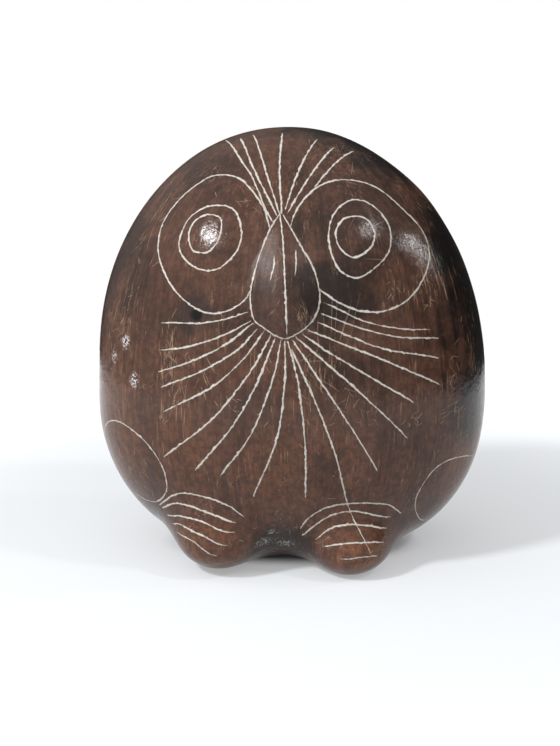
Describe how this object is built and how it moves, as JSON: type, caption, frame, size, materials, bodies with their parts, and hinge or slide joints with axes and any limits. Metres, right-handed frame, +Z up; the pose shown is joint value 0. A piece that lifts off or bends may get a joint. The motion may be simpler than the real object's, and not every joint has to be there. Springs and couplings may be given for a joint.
{
  "type": "carved owl figurine",
  "caption": "Free-standing egg-shaped owl figurine, polished dark brown, with low-relief eyes, beak and feet and pale inlaid scribed lines.",
  "frame": {"origin": "middle of the footprint of the whole figurine, on the plane that it stands on", "axes": "+Z up, the owl looks along -Y, +X is to the right of a viewer who faces it"},
  "size_m": [0.1384, 0.1032, 0.15],
  "materials": {
    "carved_body": "waxed and burnished, red-brown with smoky black clouds",
    "line_inlay": "matte, chalky off-white"
  },
  "bodies": {
    "root": {"body": "carved_body", "brow_ray_1": "line_inlay", "brow_ray_2": "line_inlay", "brow_ray_3": "line_inlay", "brow_ray_4": "line_inlay", "brow_ray_5": "line_inlay", "brow_ray_6": "line_inlay", "brow_ray_7": "line_inlay", "left_eye_outer_ring": "line_inlay", "left_eye_middle_ring": "line_inlay", "left_eye_inner_ring": "line_inlay", "right_eye_outer_ring": "line_inlay", "right_eye_middle_ring": "line_inlay", "right_eye_inner_ring": "line_inlay", "beak_outline": "line_inlay", "beak_midline": "line_inlay", "left_nostril_line": "line_inlay", "right_nostril_line": "line_inlay", "whisker_left_1": "line_inlay", "whisker_left_2": "line_inlay", "whisker_left_3": "line_inlay", "whisker_left_4": "line_inlay", "whisker_left_5": "line_inlay", "whisker_left_6": "line_inlay", "whisker_left_7": "line_inlay", "whisker_left_8": "line_inlay", "whisker_left_9": "line_inlay", "whisker_right_1": "line_inlay", "whisker_right_2": "line_inlay", "whisker_right_3": "line_inlay", "whisker_right_4": "line_inlay", "whisker_right_5": "line_inlay", "whisker_right_6": "line_inlay", "whisker_right_7": "line_inlay", "whisker_right_8": "line_inlay", "whisker_right_9": "line_inlay", "left_wing_oval": "line_inlay", "right_wing_oval": "line_inlay", "left_toe_line_1": "line_inlay", "left_toe_line_2": "line_inlay", "left_toe_line_3": "line_inlay", "left_toe_line_4": "line_inlay", "left_toe_line_5": "line_inlay", "right_toe_line_1": "line_inlay", "right_toe_line_2": "line_inlay", "right_toe_line_3": "line_inlay", "right_toe_line_4": "line_inlay", "right_toe_line_5": "line_inlay"}
  },
  "joints": []
}
